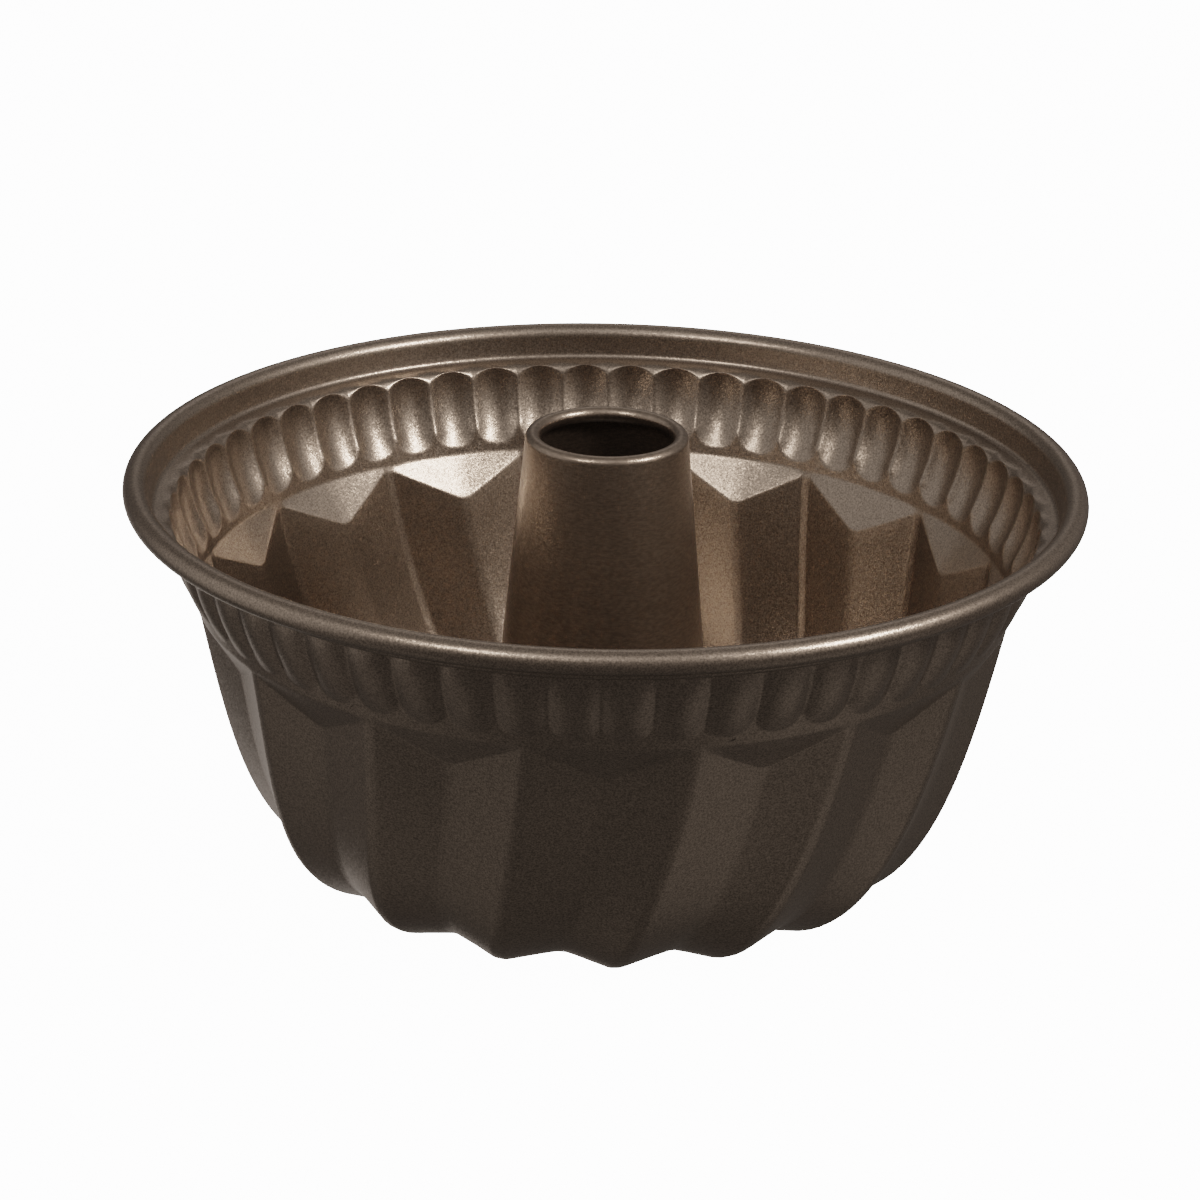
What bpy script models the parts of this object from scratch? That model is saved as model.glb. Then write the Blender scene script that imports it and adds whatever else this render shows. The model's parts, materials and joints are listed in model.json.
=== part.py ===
# Pudding mould: a fluted, twisted ring mould of coated sheet steel with a centre tube.
#
# The mould stands as it is kept, opening upwards. The origin is on the surface it stands on, in the
# middle of the rim, +Z is up and all values are metres. Angles are degrees, counted from the front
# (the -Y side) towards +X.
#
# Three pieces make it up: the body is one drawn sheet from the curled rim to the hole in the floor,
# the centre tube is a second sheet that is hemmed round the edge of that hole, and a steel wire lies
# inside the curl of the rim. Each sheet is drawn as a skin, the side that food touches, ring by ring
# along the sheet, and is then thickened away from it.

import bpy
import bmesh
from math import acos, atan2, cos, degrees, pi, radians, sin, sqrt, tau

MM = 0.001

# Sheet and fits
SHEET = 0.7 * MM              # thickness of both drawn sheets
FIT_GAP = 0.3 * MM            # clearance wherever one piece lies in or on another

# Rim: a curl over a wire, then a short upright collar and a sloping ledge
RIM_RADIUS = 125.0 * MM       # outermost line of the curl
RIM_HEIGHT = 106.3 * MM       # middle of the curl above the table
BEAD_RADIUS = 3.2 * MM        # outer radius of the curl's round section
CURL_SLOT = 0.4 * MM          # between the curl's tucked edge and the back of the collar
COLLAR_DROP = 5.6 * MM        # from the middle of the curl down to the ledge
COLLAR_TAPER = 0.8 * MM       # how far the collar runs inwards over that height
LEDGE_WIDTH = 4.7 * MM        # from the collar to the tops of the arches
LEDGE_DROP = 0.6 * MM
LEDGE_EDGE = 0.4 * MM         # from the arches out to where the ledge turns down between them

# Flutes: a belt of upright scoops pressed outwards, each with an arched top and a round toe
FLUTE_COUNT = 54
ARCH_RISE = 2.4 * MM          # of an arch's top above the creases
ARCH_INSET = 1.0 * MM         # from its top in to the top of a crease
FLUTE_HEIGHT = 13.7 * MM      # length of the creases between the scoops
FLUTE_TAPER = 4.6 * MM        # how far the creases run inwards over that height
CREASE_BULGE = 0.65 * MM      # how far a crease bows outwards half way down
SCOOP_BULGE = 1.75 * MM       # and how far the middle of a scoop does
FLUTE_TOE = 4.2 * MM          # how far its round end reaches below the creases

# Plain band and the shoulder above the twisted wall
BAND_HEIGHT = 6.4 * MM
BAND_TAPER = 1.4 * MM

# Twisted wall: sharp ridges outwards, valleys between them
RIDGE_COUNT = 16
RIDGE_ANGLE = 12.9            # of the first ridge at its top
RIDGE_TOP_INSET = 0.6 * MM    # from the shoulder's edge in to a ridge's top
RIDGE_TOP_DROP = 1.6 * MM     # and down to it
RIDGE_TOP_LEAN = 12.0         # degrees from upright at a ridge's top
RIDGE_UPPER_PULL = 44.8 * MM  # reach of the curve's upper handle
RIDGE_LOWER_PULL = 27.6 * MM  # and of its lower one, which sets the rounding into the floor
RIDGE_FOOT_RADIUS = 61.4 * MM
VALLEY_TOP_INSET = 6.7 * MM
VALLEY_TOP_DROP = 10.4 * MM
VALLEY_TOP_LEAN = 10.8
VALLEY_UPPER_PULL = 43.0 * MM
VALLEY_LOWER_PULL = 23.6 * MM
VALLEY_FOOT_INSET = 3.1 * MM  # of the valleys' foot, further in than the ridges'
VALLEY_LIFT = 2.7 * MM        # of the valleys' floor above the feet
EDGE_FLAT = 2.4 * MM          # width of the narrow face pressed along each ridge and valley
WALL_TWIST = 9.8              # degrees that a ridge turns from its top to the floor
TWIST_AT_TOP = 0.34           # share of the twist that is even; the rest builds up downwards
FLOOR_TWIST = 4.0             # degrees that it goes on turning across the floor

# Floor: pressed up to a plain ring round the tube, high enough for the hem below it
HEM_LIFT = 2.6 * MM           # lowest face of the hem above the table
FLOOR_RING_MARGIN = 2.5 * MM  # flat of the ring outside the hem below it
FOOT_SHARE = 0.5              # share of the floor's width that stands on the table

# Centre tube: a cone with its top edge rolled inwards
TUBE_TOP_RADIUS = 21.2 * MM   # outside, where the lip starts
TUBE_FOOT_RADIUS = 31.6 * MM  # outside, where it goes through the floor
TUBE_ABOVE_RIM = 12.1 * MM    # middle of the lip above the middle of the rim's curl
LIP_RADIUS = 1.9 * MM         # outer radius of the rolled edge
LIP_TURN_DOWN = 1.6 * MM      # how far the rolled edge hangs down inside the bore

# Hem under the floor: the hole's edge is flanged outwards, and the tube's edge is folded round it
NECK_BEND = 1.2 * MM          # bend radius of the hole's edge, on its smooth side
HEM_ROOM = 0.7 * MM           # between the folded edge and the floor above it
FLANGE_WIDTH = 2.2 * MM       # flat part of the flange
HEM_RETURN = 2.0 * MM         # length of the tube's edge folded back over the flange

# Fineness of the mesh
RIM_STEPS = 72                # points round the rim and its wire
LEDGE_STEPS = 2               # points on the ledge's edge for each scoop
SHOULDER_STEPS = 64           # points round the shoulder's edge
TUBE_STEPS = 36               # points round the tube and the hem
FLUTE_STEPS = 4               # points across a scoop
FLUTE_ROWS = (0.0, 0.22, 0.55, 0.84, 1.0)   # rings down a scoop, as shares of its height
BEAD_STEPS = 4                # faces over the top half of the curl
TUCK_STEPS = 3                # faces along its lower part
WALL_ROWS = 8                 # faces down the twisted wall
BEND_STEPS = 2                # faces along a quarter bend of the hem
LIP_STEPS = 6                 # faces along the rolled edge of the tube
WIRE_SIDES = 6
SAME_ANGLE = 0.00001          # radians within which one point counts as above another
LARGEST_OFFSET = 1.3          # limit, in sheets, on how far a sharp corner's back may stand off

# Heights and radii that follow from these
BEAD_CENTRE = RIM_RADIUS - BEAD_RADIUS
CURL_TUCK = 180 - degrees(acos((BEAD_RADIUS - SHEET - CURL_SLOT) / BEAD_RADIUS))
COLLAR_FOOT_RADIUS = BEAD_CENTRE - BEAD_RADIUS - COLLAR_TAPER
COLLAR_FOOT = RIM_HEIGHT - COLLAR_DROP
ARCH_TOP_RADIUS = COLLAR_FOOT_RADIUS - LEDGE_WIDTH
ARCH_TOP = COLLAR_FOOT - LEDGE_DROP
CREASE_TOP_RADIUS = ARCH_TOP_RADIUS - ARCH_INSET
CREASE_TOP = ARCH_TOP - ARCH_RISE
CREASE_FOOT_RADIUS = CREASE_TOP_RADIUS - FLUTE_TAPER
CREASE_FOOT = CREASE_TOP - FLUTE_HEIGHT
SHOULDER_RADIUS = CREASE_FOOT_RADIUS - BAND_TAPER
SHOULDER_HEIGHT = CREASE_FOOT - BAND_HEIGHT
TOE_END = CREASE_FOOT - FLUTE_TOE
TOE_END_RADIUS = CREASE_FOOT_RADIUS - BAND_TAPER * FLUTE_TOE / BAND_HEIGHT
FOOT_SKIN = SHEET                              # height of the skin where the sheet stands on the table
VALLEY_FOOT_RADIUS = RIDGE_FOOT_RADIUS - VALLEY_FOOT_INSET
NECK_RADIUS = TUBE_FOOT_RADIUS + FIT_GAP
FLANGE_FACE = HEM_LIFT + SHEET + FIT_GAP       # the flange's skin, its lower face
FLANGE_TOP = FLANGE_FACE + SHEET
FLOOR_TOP = FLANGE_TOP + FIT_GAP + SHEET + HEM_ROOM + SHEET
FLANGE_EDGE = NECK_RADIUS + NECK_BEND + FLANGE_WIDTH
HEM_BEND = SHEET / 2 + FIT_GAP                 # inner radius of the fold round the flange's edge
HEM_RADIUS = FLANGE_EDGE + HEM_BEND + SHEET
FLOOR_RING_RADIUS = HEM_RADIUS + FLOOR_RING_MARGIN
LIP_HEIGHT = RIM_HEIGHT + TUBE_ABOVE_RIM


def coating(name, colour, roughness):
    """Dark metallic non-stick coating, or bare steel, as one principled surface."""
    material = bpy.data.materials.new(name)
    material.use_nodes = True
    surface = material.node_tree.nodes["Principled BSDF"]
    surface.inputs["Base Color"].default_value = (*colour, 1.0)
    surface.inputs["Metallic"].default_value = 0.9
    surface.inputs["Roughness"].default_value = roughness
    material.diffuse_color = (*colour, 1.0)
    return material


def at(radius, degrees, height):
    """Point at a radius, an angle from the front and a height."""
    angle = radians(degrees)
    return (radius * sin(angle), -radius * cos(angle), height)


def ring(mesh, points):
    return [mesh.verts.new(point) for point in points]


def plain_ring(mesh, radius, height, steps):
    return ring(mesh, [at(radius, 360 * k / steps, height) for k in range(steps)])


def strip(mesh, first, second):
    """Four-sided faces between two closed rings with the same number of points."""
    count = len(first)
    for k in range(count):
        after = (k + 1) % count
        mesh.faces.new((first[k], first[after], second[after], second[k]))


def sheet_rings(mesh, rings):
    """Faces between each ring and the next one along the sheet."""
    for first, second in zip(rings, rings[1:]):
        strip(mesh, first, second)


def turn_from(start, vert):
    """Angle in radians from one vertex to another, 0 to a full turn."""
    angle = atan2(vert.co.y, vert.co.x) - atan2(start.co.y, start.co.x)
    return angle % tau


def stitch(mesh, first, second):
    """Triangles between two closed rings with unlike numbers of points, walked by angle."""
    start = first[0]
    nearest = min(range(len(second)), key=lambda k: abs((turn_from(start, second[k]) + pi) % tau - pi))
    second = second[nearest:] + second[:nearest]
    lead = (turn_from(start, second[0]) + pi) % tau - pi
    first_turns = [turn_from(start, vert) for vert in first] + [tau]
    second_turns = [lead + turn_from(second[0], vert) for vert in second] + [lead + tau]
    i = 0
    j = 0
    while i < len(first) or j < len(second):
        here = first[i % len(first)]
        there = second[j % len(second)]
        if i == len(first):
            step_first = False
        elif j == len(second):
            step_first = True
        else:
            step_first = first_turns[i + 1] <= second_turns[j + 1] + SAME_ANGLE
        if step_first:
            mesh.faces.new((here, first[(i + 1) % len(first)], there))
            i += 1
        else:
            mesh.faces.new((here, second[(j + 1) % len(second)], there))
            j += 1


def thicken(mesh, sheet, flat_verts=()):
    """Give the skin its second face, one sheet behind it, and close the two cut edges.

    The back of flat_verts is laid exactly on the table.
    """
    mesh.normal_update()
    faces = list(mesh.faces)
    edges = [edge for edge in mesh.edges if edge.is_boundary]
    back = {}
    for vert in list(mesh.verts):
        offset = sheet * min(vert.calc_shell_factor(), LARGEST_OFFSET)
        back[vert] = mesh.verts.new(vert.co - vert.normal * offset)
    for vert in flat_verts:
        back[vert].co.z = 0.0
    for face in faces:
        mesh.faces.new([back[vert] for vert in reversed(face.verts)])
    for edge in edges:
        loop = edge.link_loops[0]
        start = loop.vert
        end = loop.link_loop_next.vert
        mesh.faces.new((end, start, back[start], back[end]))


def finish(mesh, name, material, smooth_below):
    """Turn the finished mesh into a named object, smooth but for its pressed edges."""
    data = bpy.data.meshes.new(name)
    mesh.to_mesh(data)
    mesh.free()
    data.materials.append(material)
    data.shade_smooth()
    data.set_sharp_from_angle(angle=radians(smooth_below))
    part = bpy.data.objects.new(name, data)
    bpy.context.scene.collection.objects.link(part)
    return part


def arc(centre_radius, centre_height, bend, start, end, steps):
    """Points of a round bend in the sheet's section; degrees from outwards, towards up."""
    points = []
    for k in range(steps + 1):
        angle = radians(start + (end - start) * k / steps)
        points.append((centre_radius + bend * cos(angle), centre_height + bend * sin(angle)))
    return points


def rim_rings(mesh):
    """The curl from its tucked edge over the top, then the collar down to the ledge."""
    section = arc(BEAD_CENTRE, RIM_HEIGHT, BEAD_RADIUS, -CURL_TUCK, 0, TUCK_STEPS)[:-1]
    section += arc(BEAD_CENTRE, RIM_HEIGHT, BEAD_RADIUS, 0, 180, BEAD_STEPS)
    section.append((COLLAR_FOOT_RADIUS, COLLAR_FOOT))
    return [plain_ring(mesh, radius, height, RIM_STEPS) for radius, height in section]


def bowed(start, end, share, bulge):
    """Radius a share of the way from start to end, on a line that bows outwards by bulge half way."""
    return start + (end - start) * share + 4 * bulge * share * (1 - share)


def crease_line(height):
    """Radius of the surface that the scoops are pressed out of, from the arches down to the band."""
    if height >= CREASE_TOP:
        return CREASE_TOP_RADIUS + (height - CREASE_TOP) * ARCH_INSET / ARCH_RISE
    if height >= CREASE_FOOT:
        share = (CREASE_TOP - height) / FLUTE_HEIGHT
        return bowed(CREASE_TOP_RADIUS, CREASE_FOOT_RADIUS, share, CREASE_BULGE)
    return CREASE_FOOT_RADIUS + (height - CREASE_FOOT) * BAND_TAPER / BAND_HEIGHT


def scoop_middle(height):
    """Radius of the middle line of a scoop, from the top of its arch to the end of its toe."""
    share = (ARCH_TOP - height) / (ARCH_TOP - TOE_END)
    return bowed(ARCH_TOP_RADIUS, TOE_END_RADIUS, share, SCOOP_BULGE)


def scoop_width(height):
    """Half of a scoop's width as a share of the pitch: less than 1 in its arch and in its toe."""
    if height > CREASE_TOP:
        return sqrt(max(0.0, 1 - (height - CREASE_TOP) / ARCH_RISE))
    if height < CREASE_FOOT:
        return sqrt(max(0.0, 1 - ((CREASE_FOOT - height) / FLUTE_TOE) ** 2))
    return 1.0


def scoop_point(across, down):
    """Radius and height on a scoop, across from -1 to 1, from its arched top (down 0) to its toe (down 1)."""
    top = CREASE_TOP + ARCH_RISE * (1 - across ** 2)
    foot = CREASE_FOOT - FLUTE_TOE * sqrt(1 - across ** 2)
    height = top + (foot - top) * down
    plain = crease_line(height)
    if down in (0.0, 1.0) or abs(across) == 1:
        return plain, height
    roundness = 1 - (across / scoop_width(height)) ** 2
    return plain + (scoop_middle(height) - plain) * roundness, height


def flute_rings(mesh):
    """The belt of scoops, with its arched upper edge on the ledge and its toes on the band."""
    rings = []
    for down in FLUTE_ROWS:
        points = []
        for flute in range(FLUTE_COUNT):
            for step in range(FLUTE_STEPS):
                share = step / FLUTE_STEPS
                radius, height = scoop_point(2 * share - 1, down)
                points.append(at(radius, 360 * (flute + share) / FLUTE_COUNT, height))
        rings.append(ring(mesh, points))
    return rings


def wall_line(start, lean, upper_pull, lower_pull, end):
    """Section of the wall along a ridge or a valley: one curve from the shoulder to the floor."""
    lean = radians(lean)
    upper = (start[0] - upper_pull * sin(lean), start[1] - upper_pull * cos(lean))
    lower = (end[0] + lower_pull, end[1])
    points = []
    for k in range(WALL_ROWS + 1):
        t = k / WALL_ROWS
        weights = ((1 - t) ** 3, 3 * t * (1 - t) ** 2, 3 * t * t * (1 - t), t ** 3)
        radius = sum(w * p[0] for w, p in zip(weights, (start, upper, lower, end)))
        height = sum(w * p[1] for w, p in zip(weights, (start, upper, lower, end)))
        points.append((radius, height))
    return points


def floor_line(end):
    """Flat of the floor from the foot of the wall, then up to the plain ring round the tube."""
    radius, height = end
    flat_end = radius - FOOT_SHARE * (radius - FLOOR_RING_RADIUS)
    return [(flat_end, height), (FLOOR_RING_RADIUS, FLOOR_TOP)]


def twist(radius, height, foot_radius):
    """Degrees that a ridge or valley has turned at a point of its line."""
    down = (SHOULDER_HEIGHT - height) / (SHOULDER_HEIGHT - FOOT_SKIN)
    turned = WALL_TWIST * (TWIST_AT_TOP * down + (1 - TWIST_AT_TOP) * down ** 2)
    if radius < foot_radius:
        turned = WALL_TWIST + FLOOR_TWIST * (foot_radius - radius) / (foot_radius - FLOOR_RING_RADIUS)
    return turned


def star_rings(mesh):
    """The twisted wall and floor: four points for each ridge, two on it and two in its valley.

    Gives the rings, and the vertices of the ridges' feet, which stand on the table.
    """
    ridge_top = (SHOULDER_RADIUS - RIDGE_TOP_INSET, SHOULDER_HEIGHT - RIDGE_TOP_DROP)
    valley_top = (SHOULDER_RADIUS - VALLEY_TOP_INSET, SHOULDER_HEIGHT - VALLEY_TOP_DROP)
    ridge_foot = (RIDGE_FOOT_RADIUS, FOOT_SKIN)
    valley_foot = (VALLEY_FOOT_RADIUS, FOOT_SKIN + VALLEY_LIFT)
    ridge = wall_line(ridge_top, RIDGE_TOP_LEAN, RIDGE_UPPER_PULL, RIDGE_LOWER_PULL, ridge_foot)
    valley = wall_line(valley_top, VALLEY_TOP_LEAN, VALLEY_UPPER_PULL, VALLEY_LOWER_PULL, valley_foot)
    ridge += floor_line(ridge_foot)
    valley += floor_line(valley_foot)
    pitch = 360 / RIDGE_COUNT
    rings = []
    feet = []
    for row, (on_ridge, on_valley) in enumerate(zip(ridge, valley)):
        points = []
        for k in range(RIDGE_COUNT):
            middle = RIDGE_ANGLE + pitch * k
            for line, foot_radius, offset in ((on_ridge, RIDGE_FOOT_RADIUS, 0.0),
                                              (on_valley, VALLEY_FOOT_RADIUS, 0.5)):
                radius, height = line
                centre = middle + pitch * offset - twist(radius, height, foot_radius)
                half_flat = degrees(EDGE_FLAT / 2 / radius)
                points.append(at(radius, centre - half_flat, height))
                points.append(at(radius, centre + half_flat, height))
        rings.append(ring(mesh, points))
        if WALL_ROWS <= row <= WALL_ROWS + 1:
            feet += [vert for k, vert in enumerate(rings[-1]) if k % 4 < 2]
    return rings, feet


def neck_rings(mesh):
    """The hole's edge: bent down from the floor ring and flanged outwards for the hem."""
    section = arc(NECK_RADIUS + NECK_BEND, FLOOR_TOP - NECK_BEND, NECK_BEND, 90, 180, BEND_STEPS)
    section += arc(NECK_RADIUS + NECK_BEND, FLANGE_FACE + NECK_BEND, NECK_BEND, 180, 270, BEND_STEPS)
    section.append((FLANGE_EDGE, FLANGE_FACE))
    return [plain_ring(mesh, radius, height, TUBE_STEPS) for radius, height in section]


def make_body():
    """The drawn body: rim, ledge, flutes, band, shoulder, twisted wall, floor and the hole's edge."""
    mesh = bmesh.new()
    rim = rim_rings(mesh)
    ledge_height = ARCH_TOP + LEDGE_EDGE * LEDGE_DROP / LEDGE_WIDTH
    ledge = plain_ring(mesh, ARCH_TOP_RADIUS + LEDGE_EDGE, ledge_height, LEDGE_STEPS * FLUTE_COUNT)
    flutes = flute_rings(mesh)
    shoulder = plain_ring(mesh, SHOULDER_RADIUS, SHOULDER_HEIGHT, SHOULDER_STEPS)
    star, feet = star_rings(mesh)
    neck = neck_rings(mesh)
    sheet_rings(mesh, rim)
    stitch(mesh, rim[-1], ledge)
    stitch(mesh, ledge, flutes[0])
    sheet_rings(mesh, flutes)
    stitch(mesh, flutes[-1], shoulder)
    stitch(mesh, shoulder, star[0])
    sheet_rings(mesh, star)
    stitch(mesh, star[-1], neck[0])
    sheet_rings(mesh, neck)
    thicken(mesh, SHEET, feet)
    return finish(mesh, "mould_body", coating("bronze_coating", (0.13, 0.10, 0.078), 0.38), 25)


def make_tube():
    """The centre tube: from its hem round the flange, up the cone and over the rolled lip."""
    fold_radius = FLANGE_EDGE
    fold_height = FLANGE_FACE + SHEET / 2
    hem_top = fold_height + HEM_BEND
    hem_floor = fold_height - HEM_BEND
    wall_foot = FLANGE_FACE + NECK_BEND
    lip_centre = TUBE_TOP_RADIUS - LIP_RADIUS
    section = [(fold_radius - HEM_RETURN, hem_top)]
    section += arc(fold_radius, fold_height, HEM_BEND, 90, -90, 2 * BEND_STEPS)
    section += arc(NECK_RADIUS + NECK_BEND, wall_foot, wall_foot - hem_floor, 270, 180, BEND_STEPS)
    section.append((TUBE_FOOT_RADIUS, FLOOR_TOP))
    section += arc(lip_centre, LIP_HEIGHT, LIP_RADIUS, 0, 180, LIP_STEPS)
    section.append((lip_centre - LIP_RADIUS, LIP_HEIGHT - LIP_TURN_DOWN))
    mesh = bmesh.new()
    sheet_rings(mesh, [plain_ring(mesh, radius, height, TUBE_STEPS) for radius, height in section])
    thicken(mesh, SHEET)
    return finish(mesh, "centre_tube", coating("bronze_tube_coating", (0.12, 0.092, 0.072), 0.36), 40)


def make_wire():
    """The wire in the curl: a ring that clears the flat inner faces of the curl all round."""
    step = radians(max(180 / BEAD_STEPS, CURL_TUCK / TUCK_STEPS))
    wire_radius = BEAD_RADIUS * cos(step / 2) - SHEET - FIT_GAP
    section = arc(BEAD_CENTRE, RIM_HEIGHT, wire_radius, 0, 360, WIRE_SIDES)[:-1]
    mesh = bmesh.new()
    rings = [plain_ring(mesh, radius, height, RIM_STEPS) for radius, height in section]
    sheet_rings(mesh, rings + rings[:1])
    return finish(mesh, "rim_wire", coating("steel_wire", (0.45, 0.44, 0.42), 0.35), 60)


def main():
    for old in list(bpy.data.objects):
        bpy.data.objects.remove(old, do_unlink=True)
    make_body()
    make_tube()
    make_wire()


main()
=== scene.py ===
# %% [markdown]
# # A pudding mould in coated sheet steel
# A ring mould for puddings and yeast cakes: one deep-drawn sheet with a curled rim, a belt of flutes
# and sixteen twisted ridges, and a separate tube in the middle that lets the heat reach the centre.
# The imported CAD model gives the sizes and the place of every piece. This lesson draws the same
# sheets again with soft bends and many more faces, and then gives them their bronze coating.
#
# The first cell loads the CAD model.

# %% Load the CAD model
import json
import bpy
import bmesh
from math import acos, atan, atan2, cos, degrees, pi, radians, sin, sqrt, tau
from mathutils import Matrix, Vector
from mathutils.geometry import normal

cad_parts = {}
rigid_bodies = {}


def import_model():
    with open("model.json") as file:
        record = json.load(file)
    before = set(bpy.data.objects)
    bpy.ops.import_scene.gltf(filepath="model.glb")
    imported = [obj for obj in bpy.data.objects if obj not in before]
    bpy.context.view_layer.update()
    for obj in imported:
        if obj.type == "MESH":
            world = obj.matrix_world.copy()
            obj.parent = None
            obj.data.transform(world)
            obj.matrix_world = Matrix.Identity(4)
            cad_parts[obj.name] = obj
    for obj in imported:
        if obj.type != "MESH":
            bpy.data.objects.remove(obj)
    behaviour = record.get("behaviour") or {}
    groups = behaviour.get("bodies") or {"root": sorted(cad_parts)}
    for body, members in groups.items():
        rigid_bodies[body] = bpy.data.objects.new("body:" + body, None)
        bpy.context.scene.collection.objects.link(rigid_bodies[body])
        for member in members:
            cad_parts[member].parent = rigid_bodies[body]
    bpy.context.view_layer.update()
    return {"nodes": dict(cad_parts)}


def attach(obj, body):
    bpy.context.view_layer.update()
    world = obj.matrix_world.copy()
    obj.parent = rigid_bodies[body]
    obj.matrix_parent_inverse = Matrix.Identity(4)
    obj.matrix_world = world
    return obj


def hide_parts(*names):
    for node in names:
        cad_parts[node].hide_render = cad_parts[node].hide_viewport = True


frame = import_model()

MM = 0.001
print("CAD nodes:", sorted(frame["nodes"]))

# %% [markdown]
# ## The camera
# The object was photographed from the front and a little above, with a long lens that stood more than
# a metre away. A camera fitted to the round of the rim gave the angle above the table, the distance
# and a slight roll. The camera could be turned by hand until it looks right, but a matrix built from
# those few values says clearly where it stands and gives the same view every time.

# %% Camera
RIM_HEIGHT = 106.3 * MM           # middle of the rim's curl above the table
PICTURE = 1200                    # pixels along each side of the square picture
FOCAL_PIXELS = 4373.1             # focal length, in those pixels
SENSOR = 36.0                     # width of the film in mm
CAMERA_DISTANCE = 1136.4 * MM     # from the middle of the rim
CAMERA_ELEVATION = 20.269         # degrees above the table
CAMERA_ROLL = 1.212               # degrees
RIM_CENTRE_ACROSS = 603.54        # where the middle of the rim lies in the picture
RIM_CENTRE_DOWN = 482.0
NEAREST = 50 * MM                 # nothing nearer to the camera is drawn


def aimed_camera():
    """Camera matrix that puts the middle of the rim at its place in the picture."""
    rise = radians(CAMERA_ELEVATION)
    away = Vector((0, -cos(rise), sin(rise)))
    forward = -away
    right = Vector((1, 0, 0))
    up = right.cross(forward)
    pan = atan((RIM_CENTRE_ACROSS - PICTURE / 2) / FOCAL_PIXELS)
    tilt = atan((RIM_CENTRE_DOWN - PICTURE / 2) / FOCAL_PIXELS)
    right, forward = cos(pan) * right + sin(pan) * forward, cos(pan) * forward - sin(pan) * right
    up, forward = cos(tilt) * up - sin(tilt) * forward, cos(tilt) * forward + sin(tilt) * up
    roll = radians(CAMERA_ROLL)
    right, up = cos(roll) * right + sin(roll) * up, cos(roll) * up - sin(roll) * right
    matrix = Matrix((right, up, -forward)).transposed().to_4x4()
    matrix.translation = Vector((0, 0, RIM_HEIGHT)) + away * CAMERA_DISTANCE
    return matrix


camera = bpy.data.objects.new("camera", bpy.data.cameras.new("camera"))
bpy.context.scene.collection.objects.link(camera)
camera.data.sensor_width = SENSOR
camera.data.lens = FOCAL_PIXELS * SENSOR / PICTURE
camera.data.clip_start = NEAREST
camera.matrix_world = aimed_camera()
bpy.context.scene.camera = camera
print("lens in mm:", round(camera.data.lens, 1))

# %% [markdown]
# ## The sheet
# The scene can't read the file that made the CAD model, so the sizes of the drawn sheet are written
# again in this lesson, each where it is first needed. Heights are above the table, radii are from the
# middle, and angles are degrees from the front towards the right. All of them belong to the smooth food
# side of the sheet, because a die is cut to that side, and the other side follows from the thickness.

# %% Thickness and fit
SHEET = 0.7 * MM                  # thickness of the body and of the tube
FIT_GAP = 0.3 * MM                # between sheets that are folded into each other
print("sheet:", round(SHEET / MM, 2), "mm thick")

# %% [markdown]
# ## Soft corners
# A press can't fold sheet steel to a knife edge: every corner of the real mould has a small bend, and
# those bends catch the light as the thin bright lines in the photograph. A Bevel modifier could round
# the corners afterwards, but here corners of several depths run into each other. Instead each line
# down the sheet is drawn with its bends in place: near a corner the straight line is swapped for a
# short curve that leaves one side and arrives on the other, steered by the corner itself.

# %% Bends along a line
BEND_STEPS = 4                    # short lines in a bend
NEARLY_HALF = 0.45                # of a line, so that the bends at its two ends stay apart


def towards(start, end, reach):
    """Point that lies reach from start on the way to end, at most nearly half the way."""
    step = end - start
    return start + step * min(reach / step.length, NEARLY_HALF)


def bend(before, corner, after, reach, steps=BEND_STEPS):
    """Short curve that replaces a corner, from the side of before to the side of after."""
    first = towards(corner, before, reach)
    last = towards(corner, after, reach)
    points = []
    for k in range(steps + 1):
        t = k / steps
        points.append(first * (1 - t) ** 2 + corner * 2 * t * (1 - t) + last * t ** 2)
    return points


def arc(centre_radius, centre_height, bend_radius, start, end, steps):
    """Points (radius, height) of a round bend in the sheet's section, from start to end degrees."""
    points = []
    for k in range(steps + 1):
        angle = radians(start + (end - start) * k / steps)
        points.append(Vector((centre_radius + bend_radius * cos(angle),
                              centre_height + bend_radius * sin(angle))))
    return points


square = bend(Vector((0, 1)), Vector((0, 0)), Vector((1, 0)), 0.2)
print("a softened corner:", [tuple(round(value, 2) for value in point) for point in square])

# %% [markdown]
# ## Rings and skins
# A sheet is drawn ring by ring, and faces are laid between each ring and the next, like the courses
# of a knitted sock. Blender's Screw modifier could turn a section too, but it can't draw the shaped
# parts. Where a plain part meets a finely shaped one, the two rings have unlike numbers of points. That
# only happens on flat or conical parts, where no one can see it.

# %% Rings
RIM_STEPS = 216                   # points round the rim


def at(radius, angle, height):
    """Point at a radius, an angle in degrees from the front, and a height."""
    turn = radians(angle)
    return Vector((radius * sin(turn), -radius * cos(turn), height))


def lathe(mesh, section, steps):
    """One ring for each point of a section, all round."""
    rings = []
    for radius, height in section:
        rings.append([mesh.verts.new(at(radius, 360 * k / steps, height)) for k in range(steps)])
    return rings


def rings_from_lines(mesh, lines):
    """Rings across a set of lines that all run down the sheet with the same number of points."""
    return [[mesh.verts.new(line[row]) for line in lines] for row in range(len(lines[0]))]


print("points round the rim:", RIM_STEPS, "or one every", round(360 / RIM_STEPS, 2), "degrees")

# %% [markdown]
# Four-sided faces join two rings that have the same number of points. Where the numbers differ, both
# rings are walked round at once. Each step makes a triangle, on the ring whose next point comes first,
# so that no triangle gets long and thin.

# %% Faces between rings
def lay(mesh, rings):
    """Four-sided faces between each ring and the next one."""
    for first, second in zip(rings, rings[1:]):
        for k in range(len(first)):
            after = (k + 1) % len(first)
            mesh.faces.new((first[k], first[after], second[after], second[k]))


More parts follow.
